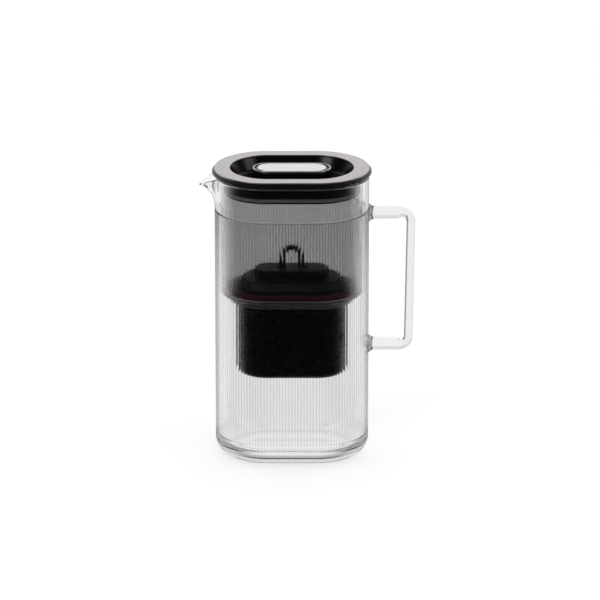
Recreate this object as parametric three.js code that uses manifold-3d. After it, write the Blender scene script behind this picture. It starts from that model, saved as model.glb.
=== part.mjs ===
// A glass water filter jug. A ribbed glass body with a drawn spout and a fused bar handle holds a smoked
// hopper, which hangs from the rim. The filter cartridge stands in a cup under the hopper, and a lid with
// a sunken grip closes it. Millimetres, +Z up. The origin is at the middle of the base, on the surface
// that the jug stands on. +X points to the handle, -X to the spout and -Y to the front.

import * as THREE from 'three';
import { mergeVertices } from 'three/addons/utils/BufferGeometryUtils.js';
import Module from 'manifold-3d';

// Fits and steps shared by all the pieces
const seatGap = 0.3;
const cutOverrun = 3;
const cornerSteps = 2;
const outlineSteps = 38;
const innerSteps = 26;
const collarSteps = 60;

// Glass body, a racetrack in plan
const bodyLength = 153.8;
const bodyDepth = 103;
const rimHeight = 294;
const glassWall = 3;
const glassFloor = 9.5;
const footRound = 17.5;
const footSteps = 3;
const rimRound = 0.8;

// Ribs of the glass body, from the base up to the smooth collar
const ribCount = 140;
const ribHeight = 0.5;
const collarHeight = 34.6;
const ribFade = 2.5;

// Spout, drawn out of the smooth collar
const spoutDepth = 36.6;
const spoutReach = 15.1;
const spoutDroop = 9.5;
const spoutHalfWidth = 22;
const spoutRiseShares = [0.35, 0.62, 0.83];
const spoutSharpness = 1.25;
const spoutCrowdShare = 0.6;

// Glass handle, one bar bent twice and fused to the wall
const handleDrop = 38.3;
const handleHeight = 142.7;
const handleReach = 42.1;
const handleLean = 2.2;
const handleTopBend = 12.7;
const handleBottomBend = 9.7;
const barThickness = 8.6;
const barDepth = 14;
const barSteps = 12;
const barSquareness = 0.72;
const bendSteps = 5;
const footLength = 6;
const footFlare = 3.2;

// Hopper, the smoked upper vessel
const hopperGap = 3.6;
const hopperDraft = 0.6;
const hopperWall = 2.2;
const hopperHang = 123;
const hopperRound = 5;
const flangeThickness = 1.6;
const flangeOverhang = 0.8;
const pourNotchWidth = 30;
const wellDepth = 5;
const wellFlare = 2.4;
const neckWall = 1.8;
const neckDepth = 7;

// Cup that holds the cartridge under the hopper
const cupInset = 15.3;
const cupHang = 79;
const cupWall = 2;
const cupRound = 6;
const cupFlangeThickness = 1.5;
const cupFlangeWidth = 5.1;
const outletCount = 7;
const outletPitch = 10;
const outletWidth = 3;
const outletLength = 26;

// Filter cartridge
const caseClearance = 0.6;
const caseWall = 1.6;
const caseLift = 2.4;
const caseFlangeThickness = 1.4;
const caseFlangeWidth = 2.2;
const sealHeight = 8;
const sealWidth = 2.7;
const sealBead = 0.7;
const screenThickness = 0.8;
const mediaHeadroom = 3;

// Cartridge cap and its pull loop
const capSkirtHeight = 2.5;
const capShoulderRise = 9.6;
const capShoulderInset = 5.3;
const capTopRise = 8.8;
const capTopEndInset = 2.6;
const capTopSideInset = 9.1;
const capWall = 1.6;
const capRound = 2;
const inletCount = 6;
const inletPitch = 9;
const inletWidth = 2.4;
const inletHeight = 4;
const loopRise = 22.5;
const loopHalfWidth = 11;
const loopFootHalfWidth = 20;
const loopHoleHalfWidth = 7;
const loopBand = 4.4;
const loopThickness = 6;

// Lid: a two tier rim round a bowl with a raised grip in its middle
const lidRise = 7.3;
const lidOverhang = 3.1;
const lipHeight = 2.3;
const trimOverhang = 1.3;
const trimThickness = 1.5;
const trimRound = 0.5;
const ringEndWidth = 16.6;
const ringSideWidth = 14.5;
const bowlDrop = 14;
const bowlSlope = 6.5;
const bowlRound = 5;
const lidWall = 2.2;
const skirtDepth = 14.3;
const skirtGap = 1;
const fingerRoomEnd = 22.8;
const fingerRoomSide = 23.3;
const gripRound = 1.5;
const gripFootRound = 2.5;
const bezelWidth = 1.5;
const bezelThickness = 1.6;
const bezelRound = 0.5;
const gripCapThickness = 1.5;
const gripCapCrown = 0.3;

// Liner and seal under the lid
const linerThickness = 1.5;
const linerRise = 3.6;
const linerInset = 1;
const lidSealHeight = 3.2;
const lidSealLip = 0.8;

// Sizes that follow from those above. A radius here is that of a racetrack's round ends.
const bodyRadius = bodyDepth / 2;
const bodyStraight = bodyLength - bodyDepth;
const cavityRadius = bodyRadius - glassWall;
const ribTop = rimHeight - collarHeight;
const spoutRoot = rimHeight - spoutDepth;
const handleTop = rimHeight - handleDrop;
const handleBottom = handleTop - handleHeight;

const hopperRadius = cavityRadius - hopperGap;
const hopperTopRadius = hopperRadius + hopperDraft;
const hopperFoot = rimHeight - hopperHang;
const flangeFoot = rimHeight + seatGap;
const flangeTop = flangeFoot + flangeThickness;
const flangeRadius = bodyRadius + flangeOverhang;
const ledgeHeight = hopperFoot - wellDepth;
const neckFoot = ledgeHeight - neckDepth;

const cupRadius = hopperRadius - cupInset;
const cupFoot = ledgeHeight - cupHang;
const cupFlangeRadius = cupRadius + cupFlangeWidth;
const cupFlangeFoot = ledgeHeight + seatGap;
const cupFlangeTop = cupFlangeFoot + cupFlangeThickness;

const caseRadius = cupRadius - cupWall - caseClearance;
const caseFoot = cupFoot + cupWall + caseLift;
const caseRound = cupRound - cupWall;
const sealFoot = cupFlangeTop + seatGap;
const caseFlangeFoot = sealFoot + sealHeight + seatGap;
const caseTop = caseFlangeFoot + caseFlangeThickness;
const caseFlangeRadius = caseRadius + caseFlangeWidth;

const capFoot = caseTop + seatGap;
const capRadius = caseFlangeRadius - seatGap;
const capShoulderHeight = capFoot + capShoulderRise;
const capShoulderRadius = capRadius - capShoulderInset;
const capTop = capShoulderHeight + capTopRise;
const capTopRadius = capShoulderRadius - capTopSideInset;
const capTopStraight = bodyStraight - 2 * capTopEndInset;
const loopTop = capTop + loopRise;
const loopHoleTop = loopTop - loopBand;

const lidFoot = flangeTop + seatGap;
const lidTop = rimHeight + lidRise;
const lipRadius = bodyRadius + lidOverhang;
const trimRadius = bodyRadius + trimOverhang;
const trimFoot = lidTop - trimThickness;
const skirtRadius = hopperTopRadius - hopperWall - skirtGap;
const skirtFoot = lidFoot - skirtDepth;
const bowlFloor = lidTop - bowlDrop;
const bowlRadius = trimRadius - ringSideWidth;
const bowlStraight = bodyStraight - 2 * (ringEndWidth - ringSideWidth);
const gripRadius = bowlRadius - fingerRoomSide;
const gripStraight = bowlStraight - 2 * (fingerRoomEnd - fingerRoomSide);
const bezelFoot = lidTop - bezelThickness;
const underBowl = bowlFloor - lidWall;
const linerFoot = skirtFoot - seatGap - linerThickness - linerRise;
const grooveRadius = skirtRadius - lidWall - linerInset;

// Turns a profile's corners, each [radius, height, rounding, straight], into the places of its rings,
// with each rounding drawn as an arc. A corner that gives no straight side has the body's.
function profilePlaces(corners) {
  return corners.flatMap(([radius, height, rounding = 0, straight = bodyStraight], index) => {
    if (rounding === 0) return [{ radius, height, straight }];
    const corner = new THREE.Vector2(radius, height);
    const [before, after] = [corners[index - 1], corners[index + 1]];
    const toBefore = new THREE.Vector2(before[0], before[1]).sub(corner).normalize();
    const toAfter = new THREE.Vector2(after[0], after[1]).sub(corner).normalize();
    const halfAngle = Math.acos(toBefore.dot(toAfter)) / 2;
    const inward = toBefore.clone().add(toAfter).normalize();
    const centre = corner.clone().addScaledVector(inward, rounding / Math.sin(halfAngle));
    const start = corner.clone().addScaledVector(toBefore, rounding / Math.tan(halfAngle));
    const turn = (Math.PI - 2 * halfAngle) * Math.sign(toAfter.cross(toBefore));
    const places = [];
    for (let step = 0; step <= cornerSteps; step += 1) {
      const point = start.clone().rotateAround(centre, (turn * step) / cornerSteps);
      places.push({ radius: point.x, height: point.y, straight });
    }
    return places;
  });
}

// The same corners on a racetrack with another straight side.
function onStraight(straight, corners) {
  return corners.map(([radius, height, rounding = 0]) => [radius, height, rounding, straight]);
}

// The places round a racetrack, at equal steps along the body's outline, each as the share of the
// straight side that it stands on and the direction that it faces. The steps crowd towards the spout by
// the given share.
function outlineSpots(count, crowdShare = 0) {
  const halfTurn = Math.PI * bodyRadius;
  const perimeter = 2 * (bodyStraight + halfTurn);
  const spots = [];
  for (let index = 0; index < count; index += 1) {
    const even = index / count;
    const share = even + (crowdShare * Math.sin(2 * Math.PI * even)) / (2 * Math.PI);
    const travelled = (share * perimeter + halfTurn / 2) % perimeter;
    const secondHalf = travelled >= perimeter / 2;
    const local = travelled - (secondHalf ? perimeter / 2 : 0);
    const onRound = local < halfTurn;
    const angle = onRound ? local / bodyRadius - Math.PI / 2 : Math.PI / 2;
    const along = onRound ? 1 : 1 - (2 * (local - halfTurn)) / bodyStraight;
    const flip = secondHalf ? -1 : 1;
    spots.push({ along: along * flip, facing: [Math.cos(angle) * flip, Math.sin(angle) * flip] });
  }
  return spots;
}

const commonSpots = outlineSpots(outlineSteps);
const innerSpots = outlineSpots(innerSteps);

// One racetrack outline at a height.
function racetrack(straight, radius, height, spots = commonSpots) {
  return spots.map(({ along, facing }) => {
    const middle = (along * straight) / 2;
    return new THREE.Vector3(middle + radius * facing[0], radius * facing[1], height);
  });
}

function meanPoint(ring) {
  const sum = ring.reduce((total, point) => total.add(point), new THREE.Vector3());
  return sum.divideScalar(ring.length);
}

function signedVolume(positions, faces) {
  const [a, b, c] = [new THREE.Vector3(), new THREE.Vector3(), new THREE.Vector3()];
  let volume = 0;
  for (let index = 0; index < faces.length; index += 3) {
    a.fromArray(positions, faces[index] * 3);
    b.fromArray(positions, faces[index + 1] * 3);
    c.fromArray(positions, faces[index + 2] * 3);
    volume += a.dot(b.cross(c));
  }
  return volume;
}

// Skins a row of rings that have the same number of points. A closed row joins its last ring to its
// first, and an open one gets a fan of faces over each end.
function skin(rings, closed = false) {
  const size = rings[0].length;
  const positions = rings.flat().flatMap((point) => point.toArray());
  const faces = [];
  const rows = closed ? rings.length : rings.length - 1;
  for (let row = 0; row < rows; row += 1) {
    const lower = row * size;
    const upper = ((row + 1) % rings.length) * size;
    for (let column = 0; column < size; column += 1) {
      const next = (column + 1) % size;
      faces.push(lower + column, lower + next, upper + next);
      faces.push(lower + column, upper + next, upper + column);
    }
  }
  if (!closed) {
    const first = positions.length / 3;
    const last = (rings.length - 1) * size;
    positions.push(...meanPoint(rings[0]).toArray(), ...meanPoint(rings[rings.length - 1]).toArray());
    for (let column = 0; column < size; column += 1) {
      const next = (column + 1) % size;
      faces.push(first, next, column);
      faces.push(first + 1, last + column, last + next);
    }
  }
  if (signedVolume(positions, faces) < 0) faces.reverse();
  const geometry = new THREE.BufferGeometry();
  geometry.setAttribute('position', new THREE.Float32BufferAttribute(positions, 3));
  geometry.setIndex(faces);
  return geometry;
}

// A profile carried round a racetrack. An open one makes a solid with flat ends, and a closed one makes a
// ring.
function turned(corners, { closed = false, spots = commonSpots } = {}) {
  const places = profilePlaces(corners);
  const rings = places.map(({ radius, height, straight }) => racetrack(straight, radius, height, spots));
  return skin(rings, closed);
}

const wasm = await Module();
wasm.setup();

function solidOf(geometry) {
  const bare = geometry.clone();
  bare.deleteAttribute('normal');
  bare.deleteAttribute('uv');
  const merged = mergeVertices(bare);
  const solid = new wasm.Mesh({
    numProp: 3,
    vertProperties: new Float32Array(merged.attributes.position.array),
    triVerts: new Uint32Array(merged.index.array),
  });
  return new wasm.Manifold(solid);
}

function geometryOf(solid) {
  const { vertProperties, triVerts } = solid.getMesh();
  const geometry = new THREE.BufferGeometry();
  geometry.setAttribute('position', new THREE.BufferAttribute(vertProperties, 3));
  geometry.setIndex(new THREE.BufferAttribute(triVerts, 1));
  return geometry;
}

function boxSolid(size, centre) {
  return solidOf(new THREE.BoxGeometry(...size).translate(...centre));
}

// A row of equal boxes along X, which cuts slots through a floor or a wall.
function slotRow(count, pitch, size, height) {
  let row = null;
  for (let index = 0; index < count; index += 1) {
    const box = boxSolid(size, [(index - (count - 1) / 2) * pitch, 0, height]);
    row = row ? row.add(box) : box;
  }
  return row;
}

const group = new THREE.Group();

function addPiece(name, geometry, color, roughness, metalness = 0, opacity = 1) {
  const bare = geometry.clone();
  bare.deleteAttribute('normal');
  bare.deleteAttribute('uv');
  const merged = mergeVertices(bare);
  merged.computeVertexNormals();
  const transparent = opacity < 1;
  const material = new THREE.MeshStandardMaterial({ color, roughness, metalness, opacity, transparent });
  const piece = new THREE.Mesh(merged, material);
  piece.name = name;
  group.add(piece);
}

// How much of the spout's reach and droop a place on the outline has: all at the spout's middle, none
// past its width.
function spoutShare({ along, facing }) {
  if (facing[0] >= 0) return 0;
  const aside = bodyRadius * Math.asin(Math.min(1, Math.abs(facing[1])));
  const distance = aside + ((along + 1) * bodyStraight) / 2;
  if (distance >= spoutHalfWidth) return 0;
  return ((1 + Math.cos((Math.PI * distance) / spoutHalfWidth)) / 2) ** spoutSharpness;
}

// A ring of the collar. The rise runs from 0 at the spout's root to 1 at the rim, and the spout leaves
// the wall with the cube of it. A lift moves the ring up or down from its place.
function collarRing(radius, rise, spots, lift = 0) {
  return racetrack(bodyStraight, radius, 0, spots).map((point, index) => {
    const share = spoutShare(spots[index]);
    const rim = rimHeight - spoutDroop * share;
    const reach = spoutReach * share * rise ** 3;
    return new THREE.Vector3(point.x - reach, point.y, spoutRoot + (rim - spoutRoot) * rise + lift);
  });
}

// The ribbed part of the outside: the ribs start at the base's edge, run up over the foot's rounding and
// fade out under the collar. Each rib has a point on its crest and one in its root.
function ribbedOutside() {
  const spots = outlineSpots(2 * ribCount);
  const ribbedRing = (radius, height, share) =>
    racetrack(bodyStraight, 0, height, spots).map((point, index) => {
      const root = index % 2 === 0 ? 0 : ribHeight * share;
      const [x, y] = spots[index].facing;
      return new THREE.Vector3(point.x + (radius - root) * x, (radius - root) * y, height);
    });
  const rings = [];
  for (let step = 0; step <= footSteps; step += 1) {
    const angle = (Math.PI / 2) * (step / footSteps);
    const radius = bodyRadius - footRound + footRound * Math.sin(angle);
    rings.push(ribbedRing(radius, footRound - footRound * Math.cos(angle), step / footSteps));
  }
  rings.push(ribbedRing(bodyRadius, ribTop - ribFade, 1));
  rings.push(ribbedRing(bodyRadius - ribHeight, ribTop + ribFade, 0));
  return skin(rings);
}

// The smooth collar and spout, from just inside the ribs' roots up to the rim.
function collarOutside() {
  const spots = outlineSpots(collarSteps, spoutCrowdShare);
  const inner = bodyRadius - 2 * ribHeight;
  const rings = [
    racetrack(bodyStraight, inner, spoutRoot - 2 * ribFade, spots),
    racetrack(bodyStraight, inner, ribTop - ribFade, spots),
  ];
  const riseOfRibTop = (ribTop - spoutRoot) / (rimHeight - spoutRoot);
  rings.push(collarRing(bodyRadius, riseOfRibTop, spots));
  for (const rise of spoutRiseShares) rings.push(collarRing(bodyRadius, rise, spots));
  rings.push(collarRing(bodyRadius, 1, spots, -rimRound));
  rings.push(collarRing(bodyRadius - rimRound, 1, spots));
  return skin(rings);
}

// The space inside, which follows the outside at the thickness of the wall and runs out past the rim.
function cavity() {
  const spots = outlineSpots(collarSteps, spoutCrowdShare);
  const innerRound = footRound - glassWall;
  const rings = [];
  for (let step = 0; step <= footSteps; step += 1) {
    const angle = (Math.PI / 2) * (step / footSteps);
    const radius = cavityRadius - innerRound + innerRound * Math.sin(angle);
    const height = glassFloor + innerRound - innerRound * Math.cos(angle);
    rings.push(racetrack(bodyStraight, radius, height, spots));
  }
  rings.push(racetrack(bodyStraight, cavityRadius, spoutRoot, spots));
  for (const rise of spoutRiseShares) rings.push(collarRing(cavityRadius, rise, spots));
  rings.push(collarRing(cavityRadius, 1, spots, -rimRound));
  rings.push(collarRing(cavityRadius + rimRound, 1, spots));
  rings.push(collarRing(cavityRadius + rimRound, 1, spots, cutOverrun));
  return skin(rings);
}

function makeGlassBody() {
  const outside = solidOf(ribbedOutside()).add(solidOf(collarOutside()));
  addPiece('glass_body', geometryOf(outside.subtract(solidOf(cavity()))), '#dfe4e6', 0.05, 0, 0.35);
}

// The bar's section is a rounded square, drawn as a power of the circle, which widens where it meets the
// wall.
function barRing(centre, direction, flare) {
  const across = new THREE.Vector3(direction.z, 0, -direction.x);
  const ring = [];
  for (let step = 0; step < barSteps; step += 1) {
    const angle = (2 * Math.PI * step) / barSteps;
    const [c, s] = [Math.cos(angle), Math.sin(angle)];
    const thick = (barThickness / 2 + flare) * Math.sign(c) * Math.abs(c) ** barSquareness;
    const deep = (barDepth / 2 + flare) * Math.sign(s) * Math.abs(s) ** barSquareness;
    ring.push(centre.clone().addScaledVector(across, thick).add(new THREE.Vector3(0, deep, 0)));
  }
  return ring;
}

// A bend of the bar, from the direction that it comes in to the one that it leaves in.
function bendRings(corner, inDirection, outDirection, radius) {
  const turn = Math.acos(inDirection.dot(outDirection));
  const start = corner.clone().addScaledVector(inDirection, -radius * Math.tan(turn / 2));
  const rings = [];
  const side = inDirection.clone().cross(outDirection).normalize();
  const toCentre = side.clone().cross(inDirection).multiplyScalar(radius);
  for (let step = 0; step <= bendSteps; step += 1) {
    const angle = (turn * step) / bendSteps;
    const spoke = toCentre.clone().negate().applyAxisAngle(side, angle);
    const direction = inDirection.clone().applyAxisAngle(side, angle);
    rings.push(barRing(start.clone().add(toCentre).add(spoke), direction, 0));
  }
  return rings;
}

function makeGlassHandle() {
  const wall = bodyLength / 2;
  const topCorner = new THREE.Vector3(wall + handleReach, 0, handleTop);
  const bottomCorner = new THREE.Vector3(wall + handleReach - handleLean, 0, handleBottom);
  const out = new THREE.Vector3(1, 0, 0);
  const back = out.clone().negate();
  const down = bottomCorner.clone().sub(topCorner).normalize();
  const footRings = (height, direction) => {
    const places = [-glassWall, footLength / 4, footLength / 2, footLength];
    return places.map((place) => {
      const share = 1 - Math.max(0, place) / footLength;
      return barRing(new THREE.Vector3(wall + place, 0, height), direction, footFlare * share ** 2);
    });
  };
  const rings = [
    ...footRings(handleTop, out),
    ...bendRings(topCorner, out, down, handleTopBend),
    ...bendRings(bottomCorner, down, back, handleBottomBend),
    ...footRings(handleBottom, back).reverse(),
  ];
  const wallRadius = bodyRadius + seatGap;
  const wallCorners = [[wallRadius, -cutOverrun], [wallRadius, rimHeight + cutOverrun]];
  const wallSolid = turned(wallCorners, { spots: outlineSpots(2 * ribCount) });
  const bar = solidOf(skin(rings)).subtract(solidOf(wallSolid));
  addPiece('glass_handle', geometryOf(bar), '#e3e7e9', 0.05, 0, 0.35);
}

// The hopper hangs by its flange on the glass rim. Its floor falls to a well, where the cup's flange
// rests on a ledge, and a neck runs down round the cup. A notch in the flange lets the filtered water out
// to the spout.
function makeHopper() {
  const neckRadius = cupRadius + seatGap;
  const wellRadius = cupFlangeRadius + seatGap;
  const floorHeight = hopperFoot + hopperWall;
  const corners = [
    [flangeRadius, flangeFoot],
    [hopperTopRadius, flangeFoot],
    [hopperRadius, hopperFoot, hopperRound],
    [wellRadius + wellFlare + hopperWall, hopperFoot],
    [wellRadius + neckWall, ledgeHeight - neckWall],
    [neckRadius + neckWall, ledgeHeight - neckWall],
    [neckRadius + neckWall, neckFoot],
    [neckRadius, neckFoot],
    [neckRadius, ledgeHeight],
    [wellRadius, ledgeHeight],
    [wellRadius + wellFlare, floorHeight],
    [hopperRadius - hopperWall, floorHeight, hopperRound - hopperWall],
    [hopperTopRadius - hopperWall, flangeTop],
    [flangeRadius, flangeTop],
  ];
  const notchEnd = -bodyStraight / 2 - hopperTopRadius - seatGap;
  const notchLength = flangeRadius - hopperTopRadius + cutOverrun;
  const notch = boxSolid(
    [notchLength, pourNotchWidth, flangeThickness + 2 * cutOverrun],
    [notchEnd - notchLength / 2, 0, (flangeFoot + flangeTop) / 2],
  );
  const vessel = solidOf(turned(corners, { closed: true })).subtract(notch);
  addPiece('hopper', geometryOf(vessel), '#6f6e6c', 0.15, 0, 0.6);
}

// The cup stands open at the top and lets the filtered water out through slots in its floor.
function makeCartridgeCup() {
  const inner = cupRadius - cupWall;
  const cup = turned([
    [inner - cupRound + cupWall, cupFoot + cupWall],
    [inner, cupFoot + cupWall, cupRound - cupWall],
    [inner, cupFlangeTop],
    [cupFlangeRadius, cupFlangeTop],
    [cupFlangeRadius, cupFlangeFoot],
    [cupRadius, cupFlangeFoot],
    [cupRadius, cupFoot, cupRound],
    [cupRadius - 2 * cupRound, cupFoot],
  ], { spots: innerSpots });
  const slotSize = [outletWidth, outletLength, cupWall + 2 * cutOverrun];
  const slots = slotRow(outletCount, outletPitch, slotSize, cupFoot);
  addPiece('cartridge_cup', geometryOf(solidOf(cup).subtract(slots)), '#141414', 0.3);
}

// The cartridge's case is a deep box, open at the top, with a flange that presses on the seal.
function makeCartridgeCase() {
  const inner = caseRadius - caseWall;
  const box = turned([
    [inner - caseRound, caseFoot + caseWall],
    [inner, caseFoot + caseWall, caseRound - caseWall],
    [inner, caseTop],
    [caseFlangeRadius, caseTop],
    [caseFlangeRadius, caseFlangeFoot],
    [caseRadius, caseFlangeFoot],
    [caseRadius, caseFoot, caseRound],
    [caseRadius - 2 * caseRound, caseFoot],
  ], { spots: innerSpots });
  const slotSize = [outletWidth, outletLength, caseWall + 2 * cutOverrun];
  const slots = slotRow(outletCount, outletPitch, slotSize, caseFoot);
  addPiece('cartridge_case', geometryOf(solidOf(box).subtract(slots)), '#1d1d1e', 0.45);
}

// The seal is a soft ring round the case, with a bead that bulges past its flat sides.
function makeCartridgeSeal() {
  const inner = caseRadius + seatGap;
  const outer = inner + sealWidth - sealBead;
  addPiece('cartridge_seal', turned([
    [inner, sealFoot],
    [outer, sealFoot],
    [outer + sealBead, sealFoot + sealBead],
    [outer + sealBead, sealFoot + sealHeight - sealBead],
    [outer, sealFoot + sealHeight],
    [inner, sealFoot + sealHeight],
  ], { closed: true, spots: innerSpots }), '#5a1420', 0.6);
}

// The filter bed lies between two screens inside the case.
function makeFilterBed() {
  const radius = caseRadius - caseWall - seatGap;
  const bottomScreen = caseFoot + caseWall + seatGap;
  const bedFoot = bottomScreen + screenThickness + seatGap;
  const bedTop = caseTop - mediaHeadroom;
  const topScreen = bedTop + seatGap;
  const plate = (height, edge) =>
    turned([[radius - edge, height], [radius - edge, height + screenThickness]], { spots: innerSpots });
  const bedCorners = [[radius - caseRound, bedFoot], [radius, bedFoot + caseRound], [radius, bedTop]];
  const bed = turned(bedCorners, { spots: innerSpots });
  addPiece('outlet_screen', plate(bottomScreen, caseRound), '#e8e6de', 0.8);
  addPiece('filter_media', bed, '#2b2a28', 0.95);
  addPiece('inlet_screen', plate(topScreen, 0), '#e8e6de', 0.8);
}

// The pull loop is an arch with flared feet and a round headed hole.
function pullLoop() {
  const shape = new THREE.Shape();
  const foot = capTop - capWall / 2;
  const shoulder = loopTop - loopHalfWidth;
  shape.moveTo(loopFootHalfWidth, foot);
  shape.quadraticCurveTo(loopHalfWidth, capTop, loopHalfWidth, shoulder);
  shape.absarc(0, shoulder, loopHalfWidth, 0, Math.PI, false);
  shape.quadraticCurveTo(-loopHalfWidth, capTop, -loopFootHalfWidth, foot);
  const hole = new THREE.Path();
  const headCentre = loopHoleTop - loopHoleHalfWidth;
  hole.moveTo(loopHoleHalfWidth, capTop);
  hole.lineTo(loopHoleHalfWidth, headCentre);
  hole.absarc(0, headCentre, loopHoleHalfWidth, 0, Math.PI, false);
  hole.lineTo(-loopHoleHalfWidth, capTop);
  shape.holes.push(hole);
  const loop = new THREE.ExtrudeGeometry(shape, {
    depth: loopThickness, bevelEnabled: false, curveSegments: bendSteps,
  });
  return loop.translate(0, 0, -loopThickness / 2).rotateX(Math.PI / 2);
}

// The cap rises in two tiers over the case. Slots in the upper tier let the water in, and the loop pulls
// the whole cartridge out.
function makeCartridgeCap() {
  const tiers = (inset, round) => [
    [capRadius - inset, capFoot],
    [capRadius - inset, capFoot + capSkirtHeight - inset / 2],
    [capShoulderRadius - inset, capShoulderHeight - inset, round],
    ...onStraight(capTopStraight, [
      [capTopRadius - inset, capShoulderHeight - inset],
      [capTopRadius - inset, capTop - inset, round],
      [capTopRadius - inset - 2 * capRound, capTop - inset],
    ]),
  ];
  const corners = [...tiers(capWall, 0).reverse(), ...tiers(0, capRound)];
  const cap = solidOf(turned(corners, { spots: innerSpots }));
  const slotSize = [inletWidth, 2 * capTopRadius + cutOverrun, inletHeight];
  const slots = slotRow(inletCount, inletPitch, slotSize, (capShoulderHeight + capTop) / 2);
  addPiece('cartridge_cap', geometryOf(cap.subtract(slots).add(solidOf(pullLoop()))), '#17181a', 0.4);
}

// The lid's shell, drawn from the top of the grip outwards: the grip's side, the bowl, the seat of the
// trim ring, the two tiers of the rim, and back inwards along the underside at the thickness of the wall.
function makeLidShell() {
  const gripSeat = bezelFoot - seatGap;
  const trimSeat = trimFoot - seatGap;
  const bowlFootRadius = bowlRadius - bowlSlope;
  addPiece('lid_shell', turned([
    ...onStraight(gripStraight, [
      [gripRadius - gripRound, gripSeat],
      [gripRadius, gripSeat - gripRound],
      [gripRadius, bowlFloor, gripFootRound],
      [gripRadius + 2 * gripFootRound, bowlFloor],
    ]),
    ...onStraight(bowlStraight, [
      [bowlFootRadius - 2 * bowlRound, bowlFloor],
      [bowlFootRadius, bowlFloor, bowlRound],
      [bowlRadius, trimSeat],
    ]),
    [trimRadius, trimSeat],
    [trimRadius + seatGap, lidFoot + lipHeight],
    [lipRadius - trimRound, lidFoot + lipHeight],
    [lipRadius, lidFoot + lipHeight - trimRound],
    [lipRadius, lidFoot + trimRound],
    [lipRadius - trimRound, lidFoot],
    ...onStraight(bowlStraight, [
      [bowlRadius - lidWall / 2, lidFoot],
      [bowlFootRadius, underBowl, bowlRound],
      [bowlFootRadius - 2 * bowlRound, underBowl],
    ]),
    ...onStraight(gripStraight, [
      [gripRadius - lidWall, underBowl],
      [gripRadius - lidWall, gripSeat - lidWall],
    ]),
  ]), '#0c0c0d', 0.18);
}

// The trim ring lies on the rim's top tier, from the bowl's mouth out to the rim's edge.
function makeLidTrimRing() {
  addPiece('lid_trim_ring', turned([
    [trimRadius, trimFoot],
    [trimRadius, lidTop - trimRound],
    [trimRadius - trimRound, lidTop],
    ...onStraight(bowlStraight, [
      [bowlRadius + trimRound, lidTop],
      [bowlRadius, lidTop - trimRound],
      [bowlRadius, trimFoot],
    ]),
  ], { closed: true }), '#b9b4b6', 0.35, 0.6);
}

// The grip's top is a crowned pill in a thin bezel.
function makeGrip() {
  const pillRadius = gripRadius - bezelWidth;
  const gripCapRadius = pillRadius - seatGap;
  addPiece('grip_bezel', turned(onStraight(gripStraight, [
    [gripRadius, bezelFoot],
    [gripRadius, lidTop - bezelRound],
    [gripRadius - bezelRound, lidTop],
    [pillRadius, lidTop],
    [pillRadius, bezelFoot],
  ]), { closed: true, spots: innerSpots }), '#c9c7c6', 0.25, 0.8);
  addPiece('grip_cap', turned(onStraight(gripStraight, [
    [gripCapRadius, bezelFoot],
    [gripCapRadius, bezelFoot + gripCapThickness - gripCapCrown],
    [gripCapRadius - gripRound, bezelFoot + gripCapThickness],
  ]), { spots: innerSpots }), '#e5e4e4', 0.25, 0.3);
}

// The liner closes the lid from below. It is a shallow dish round the bowl. Its skirt stands in the
// hopper's mouth and has a groove for the seal under it.
function makeLidLiner() {
  const plateTop = linerFoot + linerThickness;
  const hubRadius = grooveRadius - linerThickness;
  addPiece('lid_liner', turned([
    [skirtRadius - linerInset, linerFoot],
    [skirtRadius - linerInset, plateTop],
    [grooveRadius, plateTop],
    [grooveRadius, skirtFoot],
    [skirtRadius, skirtFoot],
    [skirtRadius, lidFoot - seatGap],
    [skirtRadius - lidWall, lidFoot - seatGap],
    [skirtRadius - lidWall, skirtFoot + linerThickness],
    [hubRadius, skirtFoot + linerThickness],
    [hubRadius, plateTop],
  ]), '#121213', 0.35);
}

function makeLidSeal() {
  const innerRadius = grooveRadius + seatGap;
  const sealRadius = skirtRadius + skirtGap - seatGap;
  const foot = linerFoot + linerThickness + seatGap;
  addPiece('lid_seal', turned([
    [innerRadius, foot],
    [sealRadius - lidSealLip, foot],
    [sealRadius, foot + lidSealLip],
    [sealRadius - lidSealLip, foot + lidSealHeight / 2],
    [sealRadius, foot + lidSealHeight - lidSealLip],
    [sealRadius - lidSealLip, foot + lidSealHeight],
    [innerRadius, foot + lidSealHeight],
  ], { closed: true }), '#6d6c6b', 0.6);
}

makeGlassBody();
makeGlassHandle();
makeHopper();
makeCartridgeCup();
makeCartridgeCase();
makeCartridgeSeal();
makeFilterBed();
makeCartridgeCap();
makeLidShell();
makeLidTrimRing();
makeGrip();
makeLidLiner();
makeLidSeal();

export default group;
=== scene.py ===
"""A glass water filter jug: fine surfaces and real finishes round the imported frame.

Metres, +Z up. The front faces -Y, the handle is at +X and the spout at -X. Every round form of the jug is a
stadium in plan, two half circles joined by two straight sides, and is carried round that outline.
"""
import math

import bmesh
import bpy
import numpy as np
from mathutils import Matrix, Vector


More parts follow.
